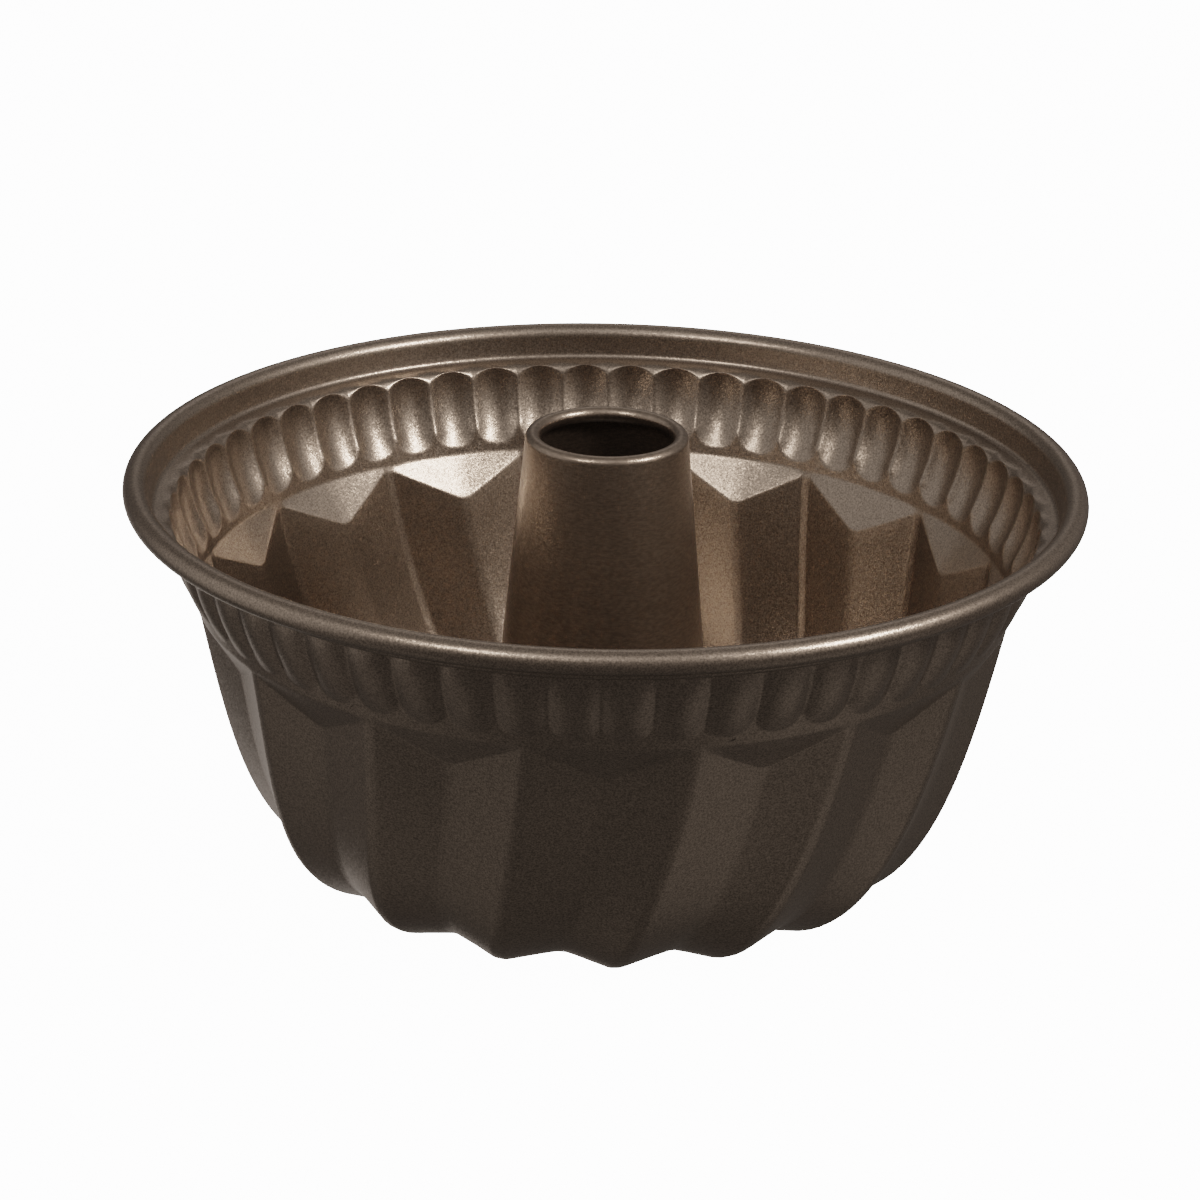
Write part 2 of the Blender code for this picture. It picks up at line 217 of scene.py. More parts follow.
def angle_of(vert):
    """Turn of a point from the front, in radians."""
    return atan2(vert.co.x, -vert.co.y) % tau


def join(mesh, first, second):
    """Triangles between two rings with unlike numbers of points, walked round by angle."""
    def opened(ring):
        start = min(range(len(ring)), key=lambda k: angle_of(ring[k]))
        ring = ring[start:] + ring[:start]
        return ring, [angle_of(vert) for vert in ring] + [angle_of(ring[0]) + tau]
    first, first_angles = opened(first)
    second, second_angles = opened(second)
    i = 0
    j = 0
    while i < len(first) or j < len(second):
        here = first[i % len(first)]
        there = second[j % len(second)]
        if j == len(second) or (i < len(first) and first_angles[i + 1] <= second_angles[j + 1]):
            mesh.faces.new((here, first[(i + 1) % len(first)], there))
            i += 1
        else:
            mesh.faces.new((here, second[(j + 1) % len(second)], there))
            j += 1


sample = bmesh.new()
four_points = lathe(sample, [(1, 0)], 4)
six_points = lathe(sample, [(2, 0)], 6)
join(sample, four_points[0], six_points[0])
print("triangles between a ring of 4 points and a ring of 6:", len(sample.faces))
sample.free()

# %% [markdown]
# ## The rim
# The edge of the sheet is curled outwards over a steel wire, so that it is stiff and doesn't cut the
# hand. Below the curl stand a short collar and a sloping ledge. A torus on top of a cone would make
# a closed bead, but the real curl is open below. All of this is the same all round, so one open section
# turned round the middle makes it. It starts at the tucked edge, which nearly touches the back of
# the collar.

# %% Section of the rim
BEAD_RADIUS = 3.2 * MM            # of the curl, over its wire
BEAD_CENTRE = 121.8 * MM          # radius at which the curl's middle lies
CURL_SLOT = 0.4 * MM              # between the tucked edge and the collar
COLLAR_FOOT_RADIUS = 117.8 * MM
COLLAR_FOOT = 100.7 * MM
ARCH_TOP_RADIUS = 113.1 * MM      # where the ledge ends, at the tops of the flutes' arches
ARCH_TOP = 100.1 * MM
COLLAR_BEND = 1.3 * MM
COLLAR_STEPS = 6
TUCK_STEPS = 12                   # along the tucked part of the curl
CROWN_STEPS = 17                  # and over its top
LEDGE_EDGE = 2.0 * MM             # from the arches out to where the plain part of the ledge ends
ledge_corner = Vector((COLLAR_FOOT_RADIUS, COLLAR_FOOT))
arch_top = Vector((ARCH_TOP_RADIUS, ARCH_TOP))
ledge_edge = towards(arch_top, ledge_corner, LEDGE_EDGE)


def rim_section():
    """Points (radius, height) from the tucked edge over the curl and down to the ledge."""
    tuck = 180 - degrees(acos((BEAD_RADIUS - SHEET - CURL_SLOT) / BEAD_RADIUS))
    section = arc(BEAD_CENTRE, RIM_HEIGHT, BEAD_RADIUS, -tuck, 0, TUCK_STEPS)[:-1]
    section += arc(BEAD_CENTRE, RIM_HEIGHT, BEAD_RADIUS, 0, 180, CROWN_STEPS)
    section.append((section[-1] + ledge_corner) / 2)
    section += bend(section[-1], ledge_corner, ledge_edge, COLLAR_BEND, COLLAR_STEPS)
    return section


print("points in the rim's section:", len(rim_section()))

# %% [markdown]
# ## The flutes
# Below the ledge, 54 upright scoops are pressed outwards. Each starts at an arched edge in the ledge
# and ends in a round toe. A cutter for each scoop and a Boolean would work, but would leave thin
# slivers along the creases. A rule is cleaner. Seen from the side, the creases lie on one bowed line
# and the middles of the scoops on another that bows out further, and across a scoop the sheet goes
# from the one to the other in a parabola.

# %% Side view of a crease and of a scoop
ARCH_RISE = 2.4 * MM              # of an arch's top above the creases
ARCH_INSET = 1.0 * MM             # of the creases from the arches' tops
FLUTE_HEIGHT = 13.7 * MM          # length of the creases between the scoops
FLUTE_TAPER = 4.6 * MM            # how far inwards they go on the way
CREASE_BULGE = 0.65 * MM          # how far a crease bows outwards half way down
SCOOP_BULGE = 1.75 * MM           # and how far the middle of a scoop does
FLUTE_TOE = 4.2 * MM              # how far its round end reaches below the creases
BAND_HEIGHT = 6.4 * MM            # plain band under the creases, down to the shoulder
BAND_TAPER = 1.4 * MM
CREASE_TOP_RADIUS = ARCH_TOP_RADIUS - ARCH_INSET
CREASE_TOP = ARCH_TOP - ARCH_RISE
CREASE_FOOT_RADIUS = CREASE_TOP_RADIUS - FLUTE_TAPER
CREASE_FOOT = CREASE_TOP - FLUTE_HEIGHT
TOE_END_RADIUS = CREASE_FOOT_RADIUS - BAND_TAPER * FLUTE_TOE / BAND_HEIGHT
TOE_END = CREASE_FOOT - FLUTE_TOE


def bowed(start, end, share, bulge):
    """Radius a share of the way from start to end, on a line that bows outwards by bulge."""
    return start + (end - start) * share + 4 * bulge * share * (1 - share)


def crease_line(height):
    """Radius of the surface that the scoops are pressed out of."""
    if height >= CREASE_TOP:
        return CREASE_TOP_RADIUS + (height - CREASE_TOP) * ARCH_INSET / ARCH_RISE
    if height >= CREASE_FOOT:
        share = (CREASE_TOP - height) / FLUTE_HEIGHT
        return bowed(CREASE_TOP_RADIUS, CREASE_FOOT_RADIUS, share, CREASE_BULGE)
    return CREASE_FOOT_RADIUS + (height - CREASE_FOOT) * BAND_TAPER / BAND_HEIGHT


def scoop_middle(height):
    """Radius of the middle line of a scoop, from the top of its arch to the end of its toe."""
    share = (ARCH_TOP - height) / (ARCH_TOP - TOE_END)
    return bowed(ARCH_TOP_RADIUS, TOE_END_RADIUS, share, SCOOP_BULGE)


for height in (CREASE_TOP, (CREASE_TOP + CREASE_FOOT) / 2, CREASE_FOOT):
    print("at", round(height / MM, 1), "mm a scoop is",
          round((scoop_middle(height) - crease_line(height)) / MM, 2), "mm deep")

# %% [markdown]
# Two parabolas would meet in a knife edge, and the press leaves a bend there. So the last part of each
# parabola is swapped for one that comes in level, which rounds the crease, and lower down the edge of
# the toe.

# %% Across a scoop
FLUTE_STEPS = 16                  # points across each scoop
CREASE_BEND = 0.16                # share of half a scoop that the bend of a crease takes


def scoop_width(height):
    """Half of a scoop's width as a share of the pitch: less than 1 in its arch and in its toe."""
    if height > CREASE_TOP:
        return sqrt(max(0.0, 1 - (height - CREASE_TOP) / ARCH_RISE))
    if height < CREASE_FOOT:
        return sqrt(max(0.0, 1 - ((CREASE_FOOT - height) / FLUTE_TOE) ** 2))
    return 1.0


def roundness(place):
    """Share of the depth at a place across, 1 in the middle and 0 on the crease."""
    place = min(abs(place), 1.0)
    start = 1 - CREASE_BEND
    if place < start:
        share = 1 - place ** 2
    else:
        further = place - start
        share = 1 - start ** 2 - 2 * start * (further - further ** 2 / (2 * CREASE_BEND))
    return (share - CREASE_BEND) / (1 - CREASE_BEND)


across_places = [sin(pi / 2 * (2 * k / FLUTE_STEPS - 1)) for k in range(FLUTE_STEPS)]
print("shares across a scoop:", [round(roundness(place), 2) for place in across_places])

# %% [markdown]
# The lines down the scoops come next. Each one leaves the ledge, bends over the arched edge, or over
# the softer saddle between two arches, runs down the scoop and lands with a last bend on the plain
# band. All lines have the same number of points, so rings can be laid across them.

# %% Lines down the scoops
FLUTE_COUNT = 54
SHOULDER_RADIUS = CREASE_FOOT_RADIUS - BAND_TAPER
SHOULDER_HEIGHT = CREASE_FOOT - BAND_HEIGHT
ARCH_BEND = 0.6 * MM
TOE_BEND = 0.8 * MM
TOE_STEPS = 3                     # short lines in the bend at the toe
BAND_SEAM = 1.05 * MM             # above the shoulder, where the finely shaped part of the band ends
# Shares of the way from the ledge to the arched edge, and then down the scoop
SADDLE_ROWS = (0.0, 0.3, 0.6, 0.8)
SCOOP_ROWS = (0.09, 0.17, 0.26, 0.36, 0.46, 0.56, 0.66, 0.75, 0.83, 0.9, 0.95)


def scoop_point(across, top, foot, down):
    """Radius and height on a scoop, a share of the way down from its arch to its toe."""
    height = top + (foot - top) * down
    plain = crease_line(height)
    width = scoop_width(height)
    if abs(across) >= width:
        return Vector((plain, height))
    return Vector((plain + (scoop_middle(height) - plain) * roundness(across / width), height))


def scoop_line(across):
    """Section points from the ledge to the band, down one place across a scoop."""
    top = CREASE_TOP + ARCH_RISE * (1 - across ** 2)
    foot = CREASE_FOOT - FLUTE_TOE * sqrt(1 - across ** 2)
    edge = Vector((crease_line(top), top))
    saddle = []
    for t in SADDLE_ROWS:
        saddle.append(ledge_edge * (1 - t) ** 2 + arch_top * 2 * t * (1 - t) + edge * t ** 2)
    scoop = [scoop_point(across, top, foot, down) for down in SCOOP_ROWS]
    toe = Vector((crease_line(foot), foot))
    seam_height = SHOULDER_HEIGHT + BAND_SEAM
    seam = Vector((crease_line(seam_height), seam_height))
    arch_bend = bend(saddle[-1], edge, scoop[0], ARCH_BEND)
    toe_bend = bend(scoop[-1], toe, seam, TOE_BEND, TOE_STEPS)
    return saddle + arch_bend + scoop + toe_bend + [seam]


def flute_lines():
    """All the lines down the scoops, once round the mould."""
    sections = [scoop_line(place) for place in across_places]
    lines = []
    for flute in range(FLUTE_COUNT):
        for place, section in zip(across_places, sections):
            angle = 360 * (flute + (place + 1) / 2) / FLUTE_COUNT
            lines.append([at(radius, angle, height) for radius, height in section])
    return lines


print("lines down the scoops:", len(flute_lines()))
print("shoulder:", round(SHOULDER_RADIUS / MM, 1), "mm out,", round(SHOULDER_HEIGHT / MM, 1), "mm up")

# %% [markdown]
# ## The twisted wall
# Sixteen ridges run from the shoulder to the floor and turn a little on the way. A star could be drawn
# once and swept down with a turn, but on the real mould the ridges and the valleys follow unlike
# curves. So a ridge and a valley each get one smooth curve down the mould, which bulges at first and
# rounds into the floor at the end. At every height the wall crosses from ridge to valley in a straight
# line, so each face of the wall is a gently warped strip with two soft edges. The valleys start lower
# than the ridges, which leaves the sloping crescents under the shoulder.

# %% Curves of a ridge and a valley
WALL_ROWS = 23                    # faces down the wall
FOOT_SKIN = SHEET                 # height of the food side where the mould stands
RIDGE_START = Vector((SHOULDER_RADIUS - 0.6 * MM, SHOULDER_HEIGHT - 1.6 * MM))
VALLEY_START = Vector((SHOULDER_RADIUS - 6.7 * MM, SHOULDER_HEIGHT - 10.4 * MM))
RIDGE_FOOT = Vector((61.4 * MM, FOOT_SKIN))
VALLEY_FOOT = Vector((58.3 * MM, FOOT_SKIN + 2.7 * MM))
RIDGE_LEAN = 12.0                 # degrees inwards from straight down, where the curve starts
VALLEY_LEAN = 10.8
RIDGE_PULLS = (44.8 * MM, 27.6 * MM)   # how far it keeps its first and its last direction
VALLEY_PULLS = (43.0 * MM, 23.6 * MM)


def wall_curve(start, lean, upper_pull, lower_pull, end):
    """Points (radius, height) of a cubic curve from the shoulder to the floor."""
    upper = start - Vector((sin(radians(lean)), cos(radians(lean)))) * upper_pull
    lower = end + Vector((lower_pull, 0))
    points = []
    for k in range(WALL_ROWS + 1):
        t = k / WALL_ROWS
        points.append(start * (1 - t) ** 3 + upper * 3 * t * (1 - t) ** 2
                      + lower * 3 * t * t * (1 - t) + end * t ** 3)
    return points


ridge_curve = wall_curve(RIDGE_START, RIDGE_LEAN, *RIDGE_PULLS, RIDGE_FOOT)
valley_curve = wall_curve(VALLEY_START, VALLEY_LEAN, *VALLEY_PULLS, VALLEY_FOOT)
middle_row = WALL_ROWS // 2
print("half way down, ridge and valley radius in mm:",
      round(ridge_curve[middle_row].x / MM, 1), round(valley_curve[middle_row].x / MM, 1))

# %% [markdown]
# Next comes one turn of the star at one height. It has the narrow face along each ridge and each
# valley, and the corners of these faces are bent, so that the edge is a round nose and not a crease.

# %% One row of the star
RIDGE_COUNT = 16
RIDGE_ANGLE = 12.9                # where the first ridge starts, degrees
EDGE_FLAT = 2.4 * MM              # width of the narrow face along a ridge or a valley
WALL_TWIST = 9.8                  # degrees from the shoulder down to the foot
EVEN_TWIST = 0.34                 # share of it that is even over the height; the rest gathers below
FLOOR_TWIST = 4.0                 # degrees more, from the foot in to the ring of the floor
FLOOR_RING_RADIUS = 39.15 * MM    # of the plain ring round the tube
NOSE_REACH = 0.9 * MM             # how far a bend reaches into the wide faces
FACE_STEPS = 4                    # across a wide face, between its bends


def twist(point, foot):
    """Degrees that a ridge or valley has turned at a point of its curve."""
    down = (SHOULDER_HEIGHT - point.y) / (SHOULDER_HEIGHT - FOOT_SKIN)
    if point.x < foot.x:
        return WALL_TWIST + FLOOR_TWIST * (foot.x - point.x) / (foot.x - FLOOR_RING_RADIUS)
    return WALL_TWIST * (EVEN_TWIST * down + (1 - EVEN_TWIST) * down ** 2)


def star_row(on_ridge, on_valley):
    """Points once round the star, from two points (radius, height) of its ridge and valley curves."""
    edges = []
    for k in range(RIDGE_COUNT):
        for point, foot, offset in ((on_ridge, RIDGE_FOOT, 0.0), (on_valley, VALLEY_FOOT, 0.5)):
            middle = RIDGE_ANGLE + 360 * (k + offset) / RIDGE_COUNT - twist(point, foot)
            half_flat = degrees(EDGE_FLAT / 2 / point.x)
            left = at(point.x, middle - half_flat, point.y)
            right = at(point.x, middle + half_flat, point.y)
            edges.append((left, right))
    row = []
    for k, (left, right) in enumerate(edges):
        next_left, next_right = edges[(k + 1) % len(edges)]
        nose = (left + right) / 2
        next_nose = (next_left + next_right) / 2
        first_bend = bend(nose, right, next_left, NOSE_REACH)
        last_bend = bend(right, next_left, next_nose, NOSE_REACH)
        first_bend[0] = nose
        row += first_bend
        for step in range(1, FACE_STEPS):
            row.append(first_bend[-1].lerp(last_bend[0], step / FACE_STEPS))
        row += last_bend[:-1]
    return row


print("points round the star:", len(star_row(ridge_curve[0], valley_curve[0])))

# %% [markdown]
# Now the upper part of the lines down the star: from the plain band over the soft shoulder, across
# the crescent, over the zigzag edge and down the wall to the foot.

# %% Down the wall
SHOULDER_BEND = 0.6 * MM
ZIGZAG_BEND = 0.6 * MM
star_rows = [star_row(ridge, valley) for ridge, valley in zip(ridge_curve, valley_curve)]


def wall_part(k):
    """Points down the line that starts over point k of the zigzag edge."""
    zigzag = star_rows[0][k]
    angle = degrees(atan2(zigzag.x, -zigzag.y))
    shoulder = at(SHOULDER_RADIUS, angle, SHOULDER_HEIGHT)
    band = at(CREASE_FOOT_RADIUS, angle, CREASE_FOOT)
    line = bend(band, shoulder, zigzag, SHOULDER_BEND)
    edge = bend(shoulder, zigzag, star_rows[1][k], ZIGZAG_BEND)
    line.append(line[-1].lerp(edge[0], 0.5))
    return line + edge + [row[k] for row in star_rows[1:]]


print("points down the wall:", len(wall_part(0)))

# %% [markdown]
# The lower part crosses the floor. It is level at the ridges' feet, where the mould stands, and then
# rises to the plain ring round the tube.

# %% Across the floor
FLOOR_TOP = 6.7 * MM              # height of the plain ring
FLOOR_BEND = 2.0 * MM
FOOT_SHARE = 0.5                  # how much of the way in to the ring stays level
level_points = [Vector((foot.x - FOOT_SHARE * (foot.x - FLOOR_RING_RADIUS), foot.y))
                for foot in (RIDGE_FOOT, VALLEY_FOOT)]
ring_start = Vector((FLOOR_RING_RADIUS, FLOOR_TOP))
level_row = star_row(*level_points)
ring_row = star_row(ring_start, ring_start)


def floor_part(k):
    """Points on from the foot, over the end of the level part, to the ring round the tube."""
    foot = star_rows[-1][k]
    level = level_row[k]
    angle = degrees(atan2(ring_row[k].x, -ring_row[k].y))
    ring = at(FLOOR_RING_RADIUS, angle, FLOOR_TOP)
    inside = at(FLOOR_RING_RADIUS - FLOOR_BEND, angle, FLOOR_TOP)
    slope = bend(foot, level, ring, FLOOR_BEND)
    last = bend(level, ring, inside, FLOOR_BEND / 2)
    return [foot.lerp(level, 0.5)] + slope + [slope[-1].lerp(last[0], 0.5)] + last


star_lines = [wall_part(k) + floor_part(k) for k in range(len(star_rows[0]))]
print("lines down the star:", len(star_lines), "with", len(star_lines[0]), "points each")

# %% [markdown]
# ## From skin to sheet
# The skin has no thickness yet, so every point gets a twin behind it. Where bends meet at the foot of
# a crease, the back has less room than the front and can fold over itself, which shows as dark ticks on
# the outside. A folded face has turned round against its twin in front, so it is easily found, and its
# corners are drawn in between their neighbours, a few times over. That opens the folds at the creases.
# Some specks stay folded behind the tops of the arches, too small to be seen.

# %% Open the folds of the back
UNFOLDING_ROUNDS = 6
OPEN_ENOUGH = 0.5                 # cosine between a face and its twin behind it


def openness(face, back):
    """Cosine between a face and its twin behind it: 1 where they lie alike, below 0 in a fold."""
    return face.normal.dot(normal([back[vert] for vert in face.verts]))


def unfold(skin, back):
    """Move the back's points that belong to folded faces between their neighbours."""
    for _ in range(UNFOLDING_ROUNDS):
        folded = set()
        for face in skin:
            if openness(face, back) < OPEN_ENOUGH:
                folded.update(face.verts)
        moved = {}
        for vert in folded:
            beside = [back[edge.other_vert(vert)] for edge in vert.link_edges]
            moved[vert] = sum(beside, Vector()) / len(beside)
        back.update(moved)
    still_folded = [face for face in skin if openness(face, back) < 0]
    print("faces of the back that are still folded:", len(still_folded), "of", len(skin))


print("a face counts as folded beyond", round(degrees(acos(OPEN_ENOUGH))), "degrees")

# %% [markdown]
# The twins lie one sheet behind, a little further off where the sheet bends, so that the wall stays
# even. Then the cut edges at the curl and at the hole are closed. A Solidify modifier does the same, but
# where four bends meet its even thickness throws out long spikes; here the extra distance has a limit.

# %% Turn a skin into a sheet
LARGEST_OFFSET = 1.25             # in sheets


def thicken(mesh):
    """Lay a second skin one sheet behind the first, and close the edges between them."""
    mesh.normal_update()
    skin = list(mesh.faces)
    cut_edges = [edge for edge in mesh.edges if edge.is_boundary]
    places = {}
    for vert in mesh.verts:
        offset = SHEET * min(vert.calc_shell_factor(), LARGEST_OFFSET)
        places[vert] = vert.co - vert.normal * offset
    unfold(skin, places)
    back = {vert: mesh.verts.new(place) for vert, place in places.items()}
    for face in skin:
        mesh.faces.new([back[vert] for vert in reversed(face.verts)])
    for edge in cut_edges:
        loop = edge.link_loops[0]
        start = loop.vert
        end = loop.link_loop_next.vert
        mesh.faces.new((end, start, back[start], back[end]))


def smooth_piece(mesh, name):
    """Object with smooth shading, made from a finished mesh."""
    data = bpy.data.meshes.new(name)
    mesh.to_mesh(data)
    mesh.free()
    data.shade_smooth()
    piece = bpy.data.objects.new(name, data)
    bpy.context.scene.collection.objects.link(piece)
    return piece


print("a twin lies at most", round(LARGEST_OFFSET * SHEET / MM, 3), "mm behind")

# %% [markdown]
# ## The drawn body
# The real body is one sheet from the curl to the edge of its hole, which is bent down and flanged
# outwards for the seam under the floor. Zones drawn as pieces of their own would show lines where they
# meet. So all zones go into one mesh, and the joins between them are walked round before the sheet gets
# its thickness.

# %% Body
TUBE_FOOT_RADIUS = 31.6 * MM
NECK_RADIUS = TUBE_FOOT_RADIUS + FIT_GAP   # of the hole, whose edge lies round the foot of the tube
NECK_BEND = 1.2 * MM
FLANGE_FACE = 3.6 * MM            # height of the flange
FLANGE_EDGE = 35.3 * MM           # radius of its edge
NECK_STEPS = 144                  # points round the hole
NECK_BEND_STEPS = 6


def neck_section():
    """Points (radius, height) from the floor down into the hole and out along the flange."""
    section = [Vector((FLOOR_RING_RADIUS - 2 * FLOOR_BEND, FLOOR_TOP))]
    section += arc(NECK_RADIUS + NECK_BEND, FLOOR_TOP - NECK_BEND, NECK_BEND, 90, 180, NECK_BEND_STEPS)
    section += arc(NECK_RADIUS + NECK_BEND, FLANGE_FACE + NECK_BEND, NECK_BEND, 180, 270,
                   NECK_BEND_STEPS)
    section.append(Vector((FLANGE_EDGE, FLANGE_FACE)))
    return section


def make_body():
    mesh = bmesh.new()
    rim = lathe(mesh, rim_section(), RIM_STEPS)
    flutes = rings_from_lines(mesh, flute_lines())
    star = rings_from_lines(mesh, star_lines)
    neck = lathe(mesh, neck_section(), NECK_STEPS)
    for zone in (rim, flutes, star, neck):
        lay(mesh, zone)
    join(mesh, rim[-1], flutes[0])
    join(mesh, flutes[-1], star[0])
    join(mesh, star[-1], neck[0])
    thicken(mesh)
    return smooth_piece(mesh, "drawn_body")


body = make_body()
print("faces of the drawn body:", len(body.data.polygons))

# %% [markdown]
# ## The centre tube
# The tube is a second sheet: a cone with its upper edge rolled inwards, and its lower edge folded round
# the flange of the body. A cylinder with a taper would miss the lip and the hem, so it is turned from
# one section, like the rim, with short bends where the parts meet.

# %% Centre tube
TUBE_TOP_RADIUS = 21.2 * MM
LIP_RADIUS = 1.9 * MM             # of the edge that is rolled inwards
LIP_HEIGHT = RIM_HEIGHT + 12.1 * MM
LIP_TURN_DOWN = 1.6 * MM
HEM_BEND = SHEET / 2 + FIT_GAP
HEM_RETURN = 2.0 * MM             # how far the folded edge comes back
TUBE_STEPS = 144                  # points round the tube
TUBE_ROWS = 9                     # up its plain wall
HEM_STEPS = 10
FOOT_STEPS = 8
LIP_STEPS = 20


def tube_section():
    """Points (radius, height) from the folded edge over the foot and up to the rolled lip."""
    fold_height = FLANGE_FACE + SHEET / 2
    hem_floor = fold_height - HEM_BEND
    wall_foot = FLANGE_FACE + NECK_BEND
    lip_centre = TUBE_TOP_RADIUS - LIP_RADIUS
    section = [Vector((FLANGE_EDGE - HEM_RETURN, fold_height + HEM_BEND))]
    section += arc(FLANGE_EDGE, fold_height, HEM_BEND, 90, -90, HEM_STEPS)
    section += arc(NECK_RADIUS + NECK_BEND, wall_foot, wall_foot - hem_floor, 270, 180, FOOT_STEPS)
    foot = Vector((TUBE_FOOT_RADIUS, FLOOR_TOP))
    lip = arc(lip_centre, LIP_HEIGHT, LIP_RADIUS, 0, 180, LIP_STEPS)
    section.append(foot)
    for step in range(1, TUBE_ROWS):
        section.append(foot.lerp(lip[0], step / TUBE_ROWS))
    section += lip
    section.append(Vector((lip_centre - LIP_RADIUS, LIP_HEIGHT - LIP_TURN_DOWN)))
    return section


def make_tube():
    mesh = bmesh.new()
    lay(mesh, lathe(mesh, tube_section(), TUBE_STEPS))
    thicken(mesh)
    return smooth_piece(mesh, "fine_tube")


tube = make_tube()
print("faces of the tube:", len(tube.data.polygons))

# %% [markdown]
# ## The wire in the curl
# The wire makes the rim stiff. It can hardly be seen, only its back glints in the slot under the curl.
# A torus would do as well. It is turned from a round section here, with the same helpers as the rim,
# so that its middle is surely the middle of the curl.

# %% Wire
WIRE_RADIUS = 1.95 * MM
WIRE_SIDES = 16


def make_wire():
    mesh = bmesh.new()
    section = arc(BEAD_CENTRE, RIM_HEIGHT, WIRE_RADIUS, 0, 360, WIRE_SIDES)[:-1]
    rings = lathe(mesh, section, RIM_STEPS)
    lay(mesh, rings + rings[:1])
    return smooth_piece(mesh, "curl_wire")


wire = make_wire()
print("faces of the wire:", len(wire.data.polygons))

# %% [markdown]
# ## Helpers for finishes
# Every finish here is made of a few kinds of nodes. They could be laid out by hand in the shader editor,
# but small helpers keep the recipes short: one starts a finish, one adds a node and sets its values, and
# one joins two sockets.

# %% Helpers for nodes
def new_finish(name, colour, metallic, roughness):
    """Material with its main shader, and the plain values set on the shader's own sockets."""
    material = bpy.data.materials.new(name)
    material.use_nodes = True
    surface = material.node_tree.nodes["Principled BSDF"]
    surface.inputs["Base Color"].default_value = (*colour, 1.0)
    surface.inputs["Metallic"].default_value = metallic
    surface.inputs["Roughness"].default_value = roughness
    return material, surface


def add(material, kind, **values):
    """New node; a value whose name is one of its sockets goes there, the others are its settings."""
    node = material.node_tree.nodes.new(kind)
    for name, value in values.items():
        if hasattr(node, name):
            setattr(node, name, value)
        else:
            node.inputs[name.replace("_", " ")].default_value = value
    return node


def wire_up(material, output, socket):
    """Link from an output to a socket."""
    material.node_tree.links.new(output, socket)


print("helpers for nodes:", [helper.__name__ for helper in (new_finish, add, wire_up)])

# %% [markdown]
# Three more helpers make patterns. The first places a fine noise on the object's own coordinates. These
# are in metres and stay with the sheet, so a grain keeps its real size wherever the camera stands. The
# other two turn that noise into a colour or a number.

# %% Helpers for patterns
def fine_noise(material, scale, detail, stretch=(1, 1, 1)):
    """Noise in the object's own coordinates; scale is in grains per metre."""
    place = add(material, "ShaderNodeTexCoord")
    mapping = add(material, "ShaderNodeMapping", Scale=stretch)
    noise = add(material, "ShaderNodeTexNoise", Scale=scale, Detail=detail, Roughness=0.6)
    wire_up(material, place.outputs["Object"], mapping.inputs["Vector"])
    wire_up(material, mapping.outputs["Vector"], noise.inputs["Vector"])
    return noise.outputs["Fac"]


def graded(material, factor, low, high, dark, light):
    """Colour that goes from dark to light while the factor goes from low to high."""
    ramp = add(material, "ShaderNodeValToRGB")
    ramp.color_ramp.elements[0].position = low
    ramp.color_ramp.elements[0].color = (*dark, 1)
    ramp.color_ramp.elements[1].position = high
    ramp.color_ramp.elements[1].color = (*light, 1)
    wire_up(material, factor, ramp.inputs["Fac"])
    return ramp.outputs["Color"]


def ranged(material, factor, low, high, least, most):
    """Number that goes from least to most while the factor goes from low to high."""
    step = add(material, "ShaderNodeMapRange", From_Min=low, From_Max=high, To_Min=least, To_Max=most)
    wire_up(material, factor, step.inputs["Value"])
    return step.outputs["Result"]


print("helpers for patterns:", [helper.__name__ for helper in (fine_noise, graded, ranged)])

# %% [markdown]
# ## The bronze coating
# The sheet is covered with a dark brown non-stick lacquer that is full of tiny metal flakes. From afar
# it looks like satin bronze; close up it sparkles, because each flake lies at its own angle. A flat
# metallic colour would look like plastic. A bump map could tip the surface, but it softens the flakes
# into waves. So cells a third of a millimetre wide each tip the surface a little to their own side.

# %% Flakes
FLAKES = 3400                     # flakes per metre
FLAKE_TIP = 0.11                  # how far a flake may tip the surface


def flaked_normal(material, tip, scale):
    """Surface direction, tipped in each small cell to that cell's own side."""
    place = add(material, "ShaderNodeTexCoord")
    cells = add(material, "ShaderNodeTexVoronoi", Scale=scale)
    centred = add(material, "ShaderNodeVectorMath", operation="SUBTRACT")
    centred.inputs[1].default_value = (0.5, 0.5, 0.5)
    scaled = add(material, "ShaderNodeVectorMath", operation="SCALE")
    scaled.inputs["Scale"].default_value = tip
    surface = add(material, "ShaderNodeNewGeometry")
    total = add(material, "ShaderNodeVectorMath", operation="ADD")
    unit = add(material, "ShaderNodeVectorMath", operation="NORMALIZE")
    wire_up(material, place.outputs["Object"], cells.inputs["Vector"])
    wire_up(material, cells.outputs["Color"], centred.inputs[0])
    wire_up(material, centred.outputs["Vector"], scaled.inputs[0])
    wire_up(material, surface.outputs["Normal"], total.inputs[0])
    wire_up(material, scaled.outputs["Vector"], total.inputs[1])
    wire_up(material, total.outputs["Vector"], unit.inputs[0])
    return unit.outputs["Vector"]


print("flakes:", round(1 / (FLAKES * MM), 2), "mm wide, tipped by up to",
      round(degrees(atan(FLAKE_TIP / 2 * sqrt(3)))), "degrees")

# %% [markdown]
# Over the flakes lies the colour. A fine grain makes it uneven, and a slow cloud does the same to
# the gloss, as on any sprayed lacquer.

# %% Bronze lacquer
GRAIN = 2200                      # grains of the lacquer per metre
CLOUDS = 60                       # clouds of the gloss per metre
GLOSS_CHANGE = 0.01               # how much they change the roughness
METAL_SHARE = 0.92
NARROW = (0.35, 0.65)             # most values of a noise lie between these,
WIDE = (0.3, 0.7)                 # and nearly all between these


